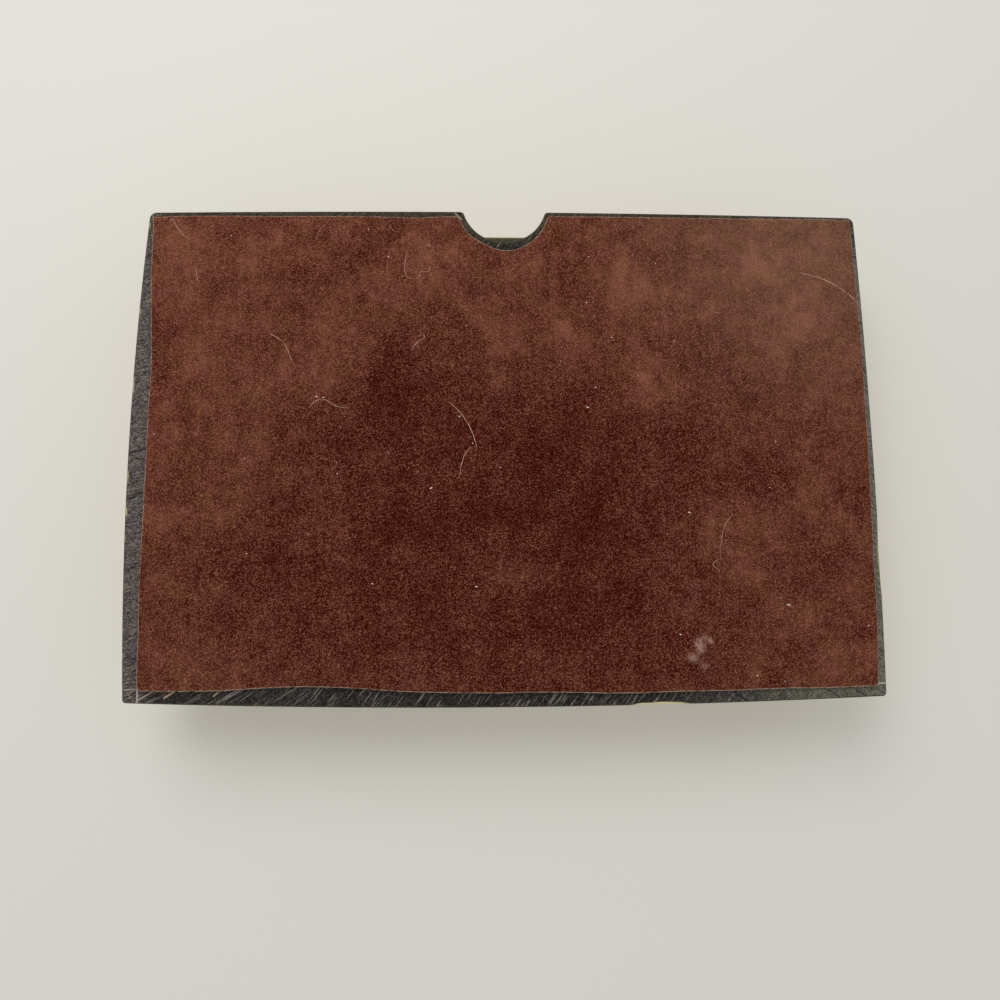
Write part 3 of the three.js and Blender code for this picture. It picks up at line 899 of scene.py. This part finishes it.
def layered(tree, colour, layers):
    """A colour with others laid over it in turn, each by its own share."""
    for share, shade in layers:
        colour = add(tree, "Mix", COLOURS, {SHARE: share, UNDER: colour, OVER: linear(shade)}, MIXED)
    return colour


def patches(tree, place, size, low=0.3, high=0.7, detail=2.0):
    """Soft random patches of about that size, from 0 to 1."""
    field = add(tree, "TexNoise", None, {"Vector": place, "Scale": 1 / size, "Detail": detail})
    return add(tree, "MapRange", SOFT_STEP, {"Value": field, "From Min": low, "From Max": high})


def tufts(tree, place, size):
    """A random tone from 0 to 1 for each tuft of fibres or grain of clay of about that size."""
    cells = add(tree, "TexVoronoi", None, {"Vector": place, "Scale": 1 / size}, "Color")
    return add(tree, "SeparateColor", None, {0: cells})


def strokes(tree, place, direction, length, spacing, low, high):
    """Straight scratches, turned from +X in degrees, with length and spacing in millimetres, from 0 to 1."""
    scale = (length * MM, spacing * MM, 1.0)
    turned = {"Vector": place, "Rotation": (0, 0, math.radians(direction)), "Scale": scale}
    turned = add(tree, "Mapping", {"vector_type": "TEXTURE"}, turned)
    field = add(tree, "TexNoise", None, {"Vector": turned, "Scale": 1.0, "Detail": 1.0})
    return add(tree, "MapRange", SOFT_STEP, {"Value": field, "From Min": low, "From Max": high})


def near_spot(tree, place, spot, size, share):
    """A share at a spot, and 0 from that distance on."""
    gap = add(tree, "VectorMath", {"operation": "DISTANCE"}, {0: place, 1: spot}, "Value")
    near = {"Value": gap, "From Min": size, "From Max": 0.0, "To Max": share}
    return add(tree, "MapRange", SOFT_STEP, near)


def near_line(tree, place, start, end, width, share):
    """A share on a straight line between two places, and 0 from that distance on."""
    along = end - start
    unit = along / along.length_squared
    from_start = add(tree, "VectorMath", MINUS, {0: place, 1: start})
    passed = add(tree, "VectorMath", {"operation": "DOT_PRODUCT"}, {0: from_start, 1: unit}, "Value")
    passed = add(tree, "Clamp", None, {"Value": passed})
    foot = add(tree, "VectorMath", {"operation": "SCALE"}, {0: along, "Scale": passed})
    gap = add(tree, "VectorMath", {"operation": "DISTANCE"}, {0: from_start, 1: foot}, "Value")
    near = {"Value": gap, "From Min": width, "From Max": 0.3 * width, "To Max": share}
    return add(tree, "MapRange", SOFT_STEP, near)


# Where something pale rubbed the felt, in millimetres: place, size and how strongly
RUB_MARK = [
    (43.6, 45.0, 1.7, 1.0),
    (43.9, 46.2, 1.7, 0.9),
    (44.8, 43.8, 1.2, 0.55),
    (46.1, 44.5, 1.2, 0.75),
    (41.8, 48.2, 1.5, 0.7),
    (42.5, 48.7, 1.3, 0.7),
    (43.2, 47.4, 1.0, 0.35),
    (44.5, 50.0, 1.6, 0.3),
]

# The corner of the felt that is greyer and paler, how far that reaches and how strongly
PALER_CORNER = (80 * MM, -60 * MM, 0)
PALER_CORNER_REACH = 70 * MM
PALER_CORNER_SHARE = 0.2

# Sizes in the felt: tufts of fibres, waves of the nap, patches of dye, nubs of pale wool and the frayed edge.
# Real fibres are a few hundredths of a millimetre thick: the tufts are drawn coarser so that they show.
TUFT_SIZE = 0.19 * MM
NAP_WAVE_SIZE = 1.1 * MM
DYE_PATCH_SIZE = 5 * MM
NUB_SPACING = 4.5 * MM
FRAY_SIZE = 1.2 * MM
FRAY_SHARE = 0.85
# The marks of the brush along the felt: direction in degrees, length and spacing in millimetres, and levels
BRUSH_MARKS = (90, 12, 0.9, 0.3, 0.7)
# The eye takes even steps of tone as even steps of this power
EVEN_TONES = 1.75


def rub_mark(tree, place, waves, tuft):
    """How much rubbed off on the felt: ragged, and caught by the tufts that stand highest."""
    scuff = 0.0
    for x, y, size, share in RUB_MARK:
        worn = near_spot(tree, place, (x * MM, y * MM, 0), size * MM, share)
        scuff = add(tree, "Math", LARGER, {0: scuff, 1: worn})
    torn = add(tree, "MapRange", None, {"Value": waves, "From Min": 0.2, "From Max": 0.5})
    caught = add(tree, "MapRange", None, {"Value": tuft, "To Min": 0.3, "To Max": 1.0})
    for share in (torn, caught):
        scuff = add(tree, "Math", TIMES, {0: scuff, 1: share})
    return scuff


def brushed_wool_felt(name, rubbed):
    """Wool felt with a brushed nap, painted with sheen: pale where it lies over, dark where it stands, frayed
    at its edge.
    """
    material, tree, place = blank_material(name)
    # The nap's tone, partly random and partly painted light and sheen
    nap = add(tree, "Attribute", {"attribute_name": "nap"}, None, "Fac")
    tuft = tufts(tree, place, TUFT_SIZE)
    fleck = add(tree, "Math", TIMES, {0: tuft, 1: tuft})
    depth = {"Value": nap, "From Min": 0.3, "From Max": 0.8, "To Min": 0.94, "To Max": 0.35}
    depth = add(tree, "MapRange", None, depth)
    waves = add(tree, "TexNoise", None, {"Vector": place, "Scale": 1 / NAP_WAVE_SIZE, "Detail": 2.0})
    brushed = strokes(tree, place, *BRUSH_MARKS)
    tone = nap
    for field, level, amount in ((fleck, 0.33, depth), (waves, 0.5, 0.24), (brushed, 0.5, 0.06)):
        above = add(tree, "Math", MINUS, {0: field, 1: level})
        tone = add(tree, "Math", TIMES_PLUS, {0: above, 1: amount, 2: tone})
    tone = add(tree, "Math", LARGER, {0: tone, 1: 0.0})
    tone = add(tree, "Math", {"operation": "POWER", "use_clamp": True}, {0: tone, 1: EVEN_TONES})
    dyed = patches(tree, place, DYE_PATCH_SIZE)
    # The tone, partly painted light and sheen, runs from the dark felt to a pale one that is dyed in patches
    pale = add(tree, "Mix", COLOURS, {SHARE: dyed, UNDER: linear("8e5948"), OVER: linear("8c5c42")}, MIXED)
    colour = add(tree, "Mix", COLOURS, {SHARE: tone, UNDER: linear("360600"), OVER: pale}, MIXED)
    cells = add(tree, "TexVoronoi", None, {"Vector": place, "Scale": 1 / NUB_SPACING}, "Distance")
    pick = add(tree, "SeparateColor", None, {0: cells.node.outputs["Color"]})
    limit = add(tree, "MapRange", None, {"Value": pick, "From Min": 0.6, "To Max": 0.075})
    nubs = {"Value": cells, "From Min": limit, "From Max": 0.0, "To Max": 0.7}
    layers = [(add(tree, "MapRange", SOFT_STEP, nubs), "c8aa9a")]
    if rubbed:
        # A paler, greyer corner of the felt
        layers.append((near_spot(tree, place, PALER_CORNER, PALER_CORNER_REACH, PALER_CORNER_SHARE), "84705c"))
        layers.append((rub_mark(tree, place, waves, tuft), "bb9586"))
    frayed = patches(tree, place, FRAY_SIZE, 0.25, 0.6)
    frayed = add(tree, "Math", TIMES, {0: frayed, 1: FRAY_SHARE})
    rim = add(tree, "Attribute", {"attribute_name": "rim"}, None, "Fac")
    layers.append((add(tree, "Math", TIMES, {0: rim, 1: frayed}), "b39c8c"))
    surface = {
        "Base Color": layered(tree, colour, layers),
        "Roughness": 0.95,
        "Specular IOR Level": 0.05,
        "Sheen Weight": 0.08,
        "Sheen Roughness": 0.45,
        "Sheen Tint": linear("c9a08c"),
        "Normal": add(tree, "Bump", None, {"Height": waves, "Strength": 0.4, "Distance": NAP_DEPTH}),
    }
    show(tree, add(tree, "BsdfPrincipled", None, surface))
    return material


# The glaze's drifts of tone, broad and close, and the waves of its surface
BROAD_DRIFT_SIZE = 34 * MM
CLOSE_DRIFT_SIZE = 6 * MM
GLAZE_WAVE_SIZE = 2.2 * MM
# Specks of iron in it: spacing, radius as a share of that, and shade
IRON_SPECKS = [(2.6 * MM, 0.16, "6b5232"), (5.5 * MM, 0.11, "43301d")]
# Grains of the bare clay beside it, drawn coarser than they are so that they show
CLAY_GRAIN_SIZE = 0.9 * MM
# What light does in a fired glaze and in fired clay
CERAMIC_IOR = 1.52


def oatmeal_glaze(tree, place):
    """A satin oatmeal glaze: cream where it lies thick, brown where it thins over an edge, iron specks."""
    broad = patches(tree, place, BROAD_DRIFT_SIZE, detail=3.0)
    close = patches(tree, place, CLOSE_DRIFT_SIZE, detail=3.0)
    cloud = add(tree, "Math", TIMES_PLUS, {0: close, 1: 0.35, 2: broad})
    cloud = add(tree, "MapRange", None, {"Value": cloud, "From Max": 1.35})
    inner_edge = add(tree, "Attribute", {"attribute_name": "inner_edge"}, None, "Fac")
    outer_edge = add(tree, "Attribute", {"attribute_name": "outer_edge"}, None, "Fac")
    thin = add(tree, "Math", TIMES_PLUS, {0: close, 1: 0.16, 2: outer_edge})
    thin = add(tree, "MapRange", SOFT_STEP, {"Value": thin, "From Min": 0.14, "From Max": 1.05})
    layers = [(cloud, "d1c7a5"), (inner_edge, "9a9468"), (thin, "7d6038")]
    for spacing, radius, shade in IRON_SPECKS:
        cells = add(tree, "TexVoronoi", None, {"Vector": place, "Scale": 1 / spacing}, "Distance")
        pick = add(tree, "SeparateColor", None, {0: cells.node.outputs["Color"]})
        limit = add(tree, "Math", TIMES, {0: pick, 1: radius})
        inner = add(tree, "Math", TIMES, {0: limit, 1: 0.4})
        speck = {"Value": cells, "From Min": limit, "From Max": inner, "To Max": 0.8}
        layers.append((add(tree, "MapRange", SOFT_STEP, speck), shade))
    rough = add(tree, "MapRange", None, {"Value": close, "To Min": 0.24, "To Max": 0.4})
    return layered(tree, linear("bfb48c"), layers), rough


def satin_glazed_stoneware():
    """Stoneware under a satin oatmeal glaze that stops short of the foot, where the toasted clay shows."""
    material, tree, place = blank_material("satin_glazed_stoneware")
    colour, rough = oatmeal_glaze(tree, place)
    grain = patches(tree, place, CLAY_GRAIN_SIZE)
    clay = add(tree, "Mix", COLOURS, {SHARE: grain, UNDER: linear("26221b"), OVER: linear("453f30")}, MIXED)
    glazed = add(tree, "Attribute", {"attribute_name": "glaze"}, None, "Fac")
    bare = add(tree, "Math", MINUS, {0: 1.0, 1: glazed})
    grain = add(tree, "Math", TIMES, {0: grain, 1: bare})
    waves = patches(tree, place, GLAZE_WAVE_SIZE, 0.2, 0.8, 1.0)
    height = add(tree, "Math", TIMES_PLUS, {0: waves, 1: 0.35, 2: grain})
    surface = {
        "Base Color": add(tree, "Mix", COLOURS, {SHARE: glazed, UNDER: clay, OVER: colour}, MIXED),
        "Roughness": add(tree, "Math", TIMES_PLUS, {0: bare, 1: 0.45, 2: rough}),
        "IOR": CERAMIC_IOR,
        "Normal": add(tree, "Bump", None, {"Height": height, "Strength": 0.25, "Distance": 0.1 * MM}),
    }
    show(tree, add(tree, "BsdfPrincipled", None, surface))
    return material


# Scores in the ground clay, in millimetres: ends, width and shade. A knife left the pale ones, grit the dark.
SCORES = [
    ((-82.0, 54.3), (-81.9, 57.6), 0.3, "a79d9c"),
    ((-86.6, 54.2), (-82.0, 54.2), 0.18, "8f8780"),
    ((83.9, 54.3), (86.4, 54.3), 0.22, "b8b8aa"),
    ((-11.9, -58.4), (-10.4, -56.8), 0.2, "a39a86"),
    ((-84.5, -58.1), (-84.5, -56.5), 0.2, "8a8072"),
    ((-81.6, 56.4), (-77.5, 54.1), 0.22, "9b8d7c"),
    ((-76.0, 56.1), (-72.7, 54.0), 0.28, "b39a80"),
    ((-65.2, 55.8), (-63.3, 54.2), 0.28, "958a70"),
    ((-87.1, 0.9), (-82.6, -0.1), 0.28, "241f20"),
    ((-86.9, 11.0), (-82.8, 9.9), 0.26, "262223"),
    ((50.8, 55.6), (54.4, 58.1), 0.3, "1d1e20"),
    ((49.1, 55.9), (51.8, 58.0), 0.24, "24262a"),
    ((79.2, 55.9), (82.1, 57.4), 0.32, "2f322e"),
    ((85.2, 46.7), (86.5, 47.5), 0.26, "30342f"),
]

# Each side was ground in its own turn and takes a shade of its own: from where to where its turn comes in, in
# millimetres along an axis
GROUND_LEFT = ("X", -79, -83.5)
GROUND_RIGHT = ("X", 30, 90)
GROUND_PAST_LEFT = ("X", -60, -35)
GROUND_FRONT = ("Y", -48, -55)
# Scratches: directions as the photo has them, in degrees from +X, lengths and spacings in millimetres,
# and the levels of a random field between which they come in
SCRATCHES = {
    "coarse": (-31, 15, 0.45, 0.6, 0.68),
    "hatched": (-29, 7, 0.3, 0.5, 0.75),
    "steep": (-53, 6, 0.36, 0.58, 0.7),
    "level": (-13, 4, 0.3, 0.5, 0.8),
    "rising": (38, 9, 0.35, 0.52, 0.8),
    "dark": (-34, 8, 0.45, 0.45, 0.35),
    "dark_rising": (36, 9, 0.5, 0.42, 0.34),
}
# Clouds in the clay, and grains of grog, drawn coarser than their tenth of a millimetre so that they show
CLAY_CLOUD_SIZE = 9 * MM
GROG_SIZE = 0.3 * MM
SCORE_SHARE = 0.85


def ground_stoneware():
    """Iron-rich stoneware ground flat: dark, dull and porous, with the slanting scratches of each turn."""
    material, tree, place = blank_material("ground_stoneware")
    axes = add(tree, "SeparateXYZ", None, {0: place}).node.outputs
    turns = []
    for axis, start, full in (GROUND_LEFT, GROUND_RIGHT, GROUND_PAST_LEFT, GROUND_FRONT):
        turn = {"Value": axes[axis], "From Min": start * MM, "From Max": full * MM}
        turns.append(add(tree, "MapRange", SOFT_STEP, turn))
    at_left, at_right, past_left, at_front = turns
    cloud = patches(tree, place, CLAY_CLOUD_SIZE, detail=3.0)
    cut = {name: strokes(tree, place, *marks) for name, marks in SCRATCHES.items()}
    pale = {0: cut["hatched"], 1: 0.35, 2: cut["coarse"]}
    pale = add(tree, "Math", {**TIMES_PLUS, "use_clamp": True}, pale)
    for share, name in ((past_left, "steep"), (at_left, "level"), (at_right, "rising")):
        pale = add(tree, "Mix", None, {SHARE: share, FROM: pale, TO: cut[name]})
    dark = add(tree, "Mix", None, {SHARE: at_right, FROM: cut["dark"], TO: cut["dark_rising"]})
    dark_share = add(tree, "Math", TIMES, {0: dark, 1: 0.75})
    calm = add(tree, "MapRange", None, {"Value": at_front, "To Min": 0.55, "To Max": 0.2})
    pale_share = add(tree, "Math", TIMES, {0: pale, 1: calm})
    grog = tufts(tree, place, GROG_SIZE)
    sides = add(tree, "Math", LARGER, {0: at_left, 1: at_right})
    grit = add(tree, "Math", TIMES_PLUS, {0: sides, 1: 0.34, 2: 0.16})
    lit = add(tree, "MapRange", None, {"Value": grog, "From Min": 0.5, "To Max": grit})
    shaded = add(tree, "MapRange", None, {"Value": grog, "From Min": 0.5, "From Max": 0.0, "To Max": 0.5})
    # Each side's own shade over the dark clay: the left purplish grey, the right paler and greener, the front
    # olive brown, while the back stays darkest
    layers = [
        (cloud, "211d1b"),
        (at_left, "4b4342"),
        (at_right, "5f5e52"),
        (at_front, "3c3220"),
        (dark_share, "0e0c0b"),
        (pale_share, "9a9084"),
        (lit, "8d857c"),
        (shaded, "131110"),
    ]
    for start, end, width, shade in SCORES:
        ends = [Vector((x * MM, y * MM, slab_bottom)) for x, y in (start, end)]
        layers.append((near_line(tree, place, *ends, width * MM, SCORE_SHARE), shade))
    smeared = add(tree, "Attribute", {"attribute_name": "glaze"}, None, "Fac")
    layers.append((smeared, "b0ab7c"))
    scored = add(tree, "Math", MINUS, {0: pale, 1: dark})
    surface = {
        "Base Color": layered(tree, linear("151311"), layers),
        "Roughness": 0.82,
        "IOR": CERAMIC_IOR,
        "Specular IOR Level": 0.15,
        "Normal": add(tree, "Bump", None, {"Height": scored, "Strength": 0.3, "Distance": 0.08 * MM}),
    }
    show(tree, add(tree, "BsdfPrincipled", None, surface))
    return material


# The length over which a thread changes its shade
LINT_SHADE_LENGTH = 2 * MM


def cotton_lint(name, dark, pale):
    """Loose cotton and wool: dull threads that vary a little along their length."""
    material, tree, place = blank_material(name)
    along = patches(tree, place, LINT_SHADE_LENGTH)
    colour = add(tree, "Mix", COLOURS, {SHARE: along, UNDER: linear(dark), OVER: linear(pale)}, MIXED)
    surface = {"Base Color": colour, "Roughness": 0.9, "Specular IOR Level": 0.1}
    show(tree, add(tree, "BsdfPrincipled", None, surface))
    return material


# Putting the pieces on their bodies

def put(name, data):
    """A new object in the scene."""
    made = bpy.data.objects.new(name, data)
    bpy.context.scene.collection.objects.link(made)
    return made


def place_piece(name, data, material, body, node):
    """A piece that rides a body and takes a finish, and stands for a node where one is named."""
    piece = put(name, data)
    piece.data.materials.append(material)
    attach(piece, body)
    if node:
        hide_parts(node)
    return piece


tray_mesh = base_tray()
work_by_hand(tray_mesh, slab_bottom + SLAB_ARRIS)
cover_mesh = cover()
work_by_hand(cover_mesh, slab_top + COVER_TRUE_FOOT)

underside = brushed_wool_felt("brushed_wool_felt", rubbed=True)
lining = brushed_wool_felt("lining_wool_felt", rubbed=False)
glazed = satin_glazed_stoneware()
tray = place_piece("base_tray_stoneware", tray_mesh, glazed, "base", "base_tray")
lid = place_piece("cover_glazed_stoneware", cover_mesh, glazed, "cover", "cover")
ground = ground_stoneware()
for fired in (tray, lid):
    fired.data.materials.append(ground)
felts = {"base_felt": place_piece("base_felt_nap", base_felt(), underside, "base", "base_felt")}
for side in ("left", "right"):
    node = f"{side}_well_felt"
    felts[node] = place_piece(f"{node}_nap", well_felt(side), lining, "base", node)
for name, data, finish, dark, pale in (
    ("felt_lint", hairs(), "cotton_lint", "b08370", "f2c9b5"),
    ("felt_specks", specks(), "cotton_dust", "e3c6b8", "f6e6dd"),
    ("felt_edge_fuzz", edge_fuzz(), "wool_fuzz", "7c5646", "b59a8a"),
):
    place_piece(name, data, cotton_lint(finish, dark, pale), "base", None)


# Stage: a floor seen from above, and a sheet round the cover that is seen only from below

PALE = linear("dedbd4")
WORLD_LEVEL = 0.68
BACKING_HEIGHT = 24 * MM
BACKING_GAP = 0.5 * MM
# How far a sheet of the stage reaches, how far it is solid and from where on it is gone, in metres
STAGE_REACH = 0.9
STAGE_SOLID, STAGE_GONE = 0.14, 0.42
STAGE_POINTS = 96
# Lamps: place and size in metres, and power in watts
LAMPS = [
    ("key_from_below", (-0.16, -0.34, -0.46), 0.4, 1.5),
    ("key_from_above", (-0.3, -0.32, 0.48), 0.4, 1.9),
    ("fill_from_above", (0.42, 0.1, 0.4), 0.5, 0.9),
]


def stage_sheet(name, height, faces_up, hole=None):
    """A flat pale sheet that only the camera sees, from one side, and that fades into the background."""
    skin = Skin("paper")
    if hole is None:
        disc = STAGE_REACH * np.exp(1j * math.tau * even(STAGE_POINTS))
        skin.close(skin.lay(disc, height, 1.0), faces_up)
    else:
        inner = skin.lay(hole, height, 1.0)
        outer = skin.lay(STAGE_REACH * (hole - middle) / np.abs(hole - middle), height, 1.0)
        skin.sweep([outer, inner] if faces_up else [inner, outer])
    sheet = put(name, skin.mesh(name))
    for ray in ("diffuse", "glossy", "transmission", "volume_scatter", "shadow"):
        setattr(sheet, "visible_" + ray, False)

    material, tree, place = blank_material("pale_paper_" + name)
    away = add(tree, "VectorMath", {"operation": "LENGTH"}, {0: place}, "Value")
    solid = add(tree, "MapRange", SOFT_STEP, {"Value": away, "From Min": STAGE_GONE, "From Max": STAGE_SOLID})
    behind = add(tree, "NewGeometry", None, None, "Backfacing")
    front = add(tree, "Math", MINUS, {0: 1.0, 1: behind})
    shown = add(tree, "Math", TIMES, {0: solid, 1: front})
    paper = add(tree, "BsdfDiffuse", None, {"Color": PALE})
    clear = add(tree, "BsdfTransparent")
    show(tree, add(tree, "MixShader", None, {0: shown, 1: clear, 2: paper}))
    sheet.data.materials.append(material)


def lamp(name, place, size, power):
    """A soft square lamp turned to the middle of the box."""
    data = bpy.data.lights.new(name, "AREA")
    data.size = size
    data.energy = power
    made = put(name, data)
    made.location = place
    aim = Vector((0, 0, crown_top / 2)) - made.location
    made.rotation_euler = aim.to_track_quat("-Z", "Y").to_euler()
    made.visible_camera = False


def background():
    """Even soft light all round, and a pale background where the camera or a gloss looks past the box."""
    world = bpy.data.worlds.new("studio")
    bpy.context.scene.world = world
    world.use_nodes = True
    tree = world.node_tree
    tree.nodes.clear()
    seen = add(tree, "LightPath", out="Is Camera Ray")
    rays = seen.node.outputs
    for ray in ("Is Glossy Ray", "Is Transmission Ray"):
        seen = add(tree, "Math", LARGER, {0: seen, 1: rays[ray]})
    light = add(tree, "Background", None, {"Color": (1.0, 1.0, 1.0, 1.0), "Strength": WORLD_LEVEL})
    pale = add(tree, "Background", None, {"Color": PALE, "Strength": 1.0})
    mixed = add(tree, "MixShader", None, {0: seen, 1: light, 2: pale})
    output = tree.nodes.new("ShaderNodeOutputWorld")
    tree.links.new(mixed, output.inputs["Surface"])


background()
stage_sheet("floor", 0.0, True)
beside_cover = LEDGE_WIDTH - BACKING_GAP
hole, _ = bowed_outline(corners, BOWS, [COVER_CORNER_RADIUS] * 4, SIDE_SHARES, beside_cover)
stage_sheet("backing", BACKING_HEIGHT, False, hole)
for each in LAMPS:
    lamp(*each)

# The camera, fitted to the corners of the slab in the photo
CAMERA_PLACE = (-6.16 * MM, 34.65 * MM, -171.2 * MM)
CAMERA_TURN = (-172.523, 1.541, 0.341)
CAMERA_LENS = 27.0
CAMERA_SENSOR = 36.0
CAMERA_NEAREST = 10 * MM
camera_data = bpy.data.cameras.new("camera")
camera_data.lens = CAMERA_LENS
camera_data.sensor_width = CAMERA_SENSOR
camera_data.clip_start = CAMERA_NEAREST
camera = put("camera", camera_data)
camera.location = CAMERA_PLACE
camera.rotation_euler = Euler([math.radians(turn) for turn in CAMERA_TURN])
bpy.context.scene.camera = camera
bpy.context.scene.view_settings.view_transform = "Standard"
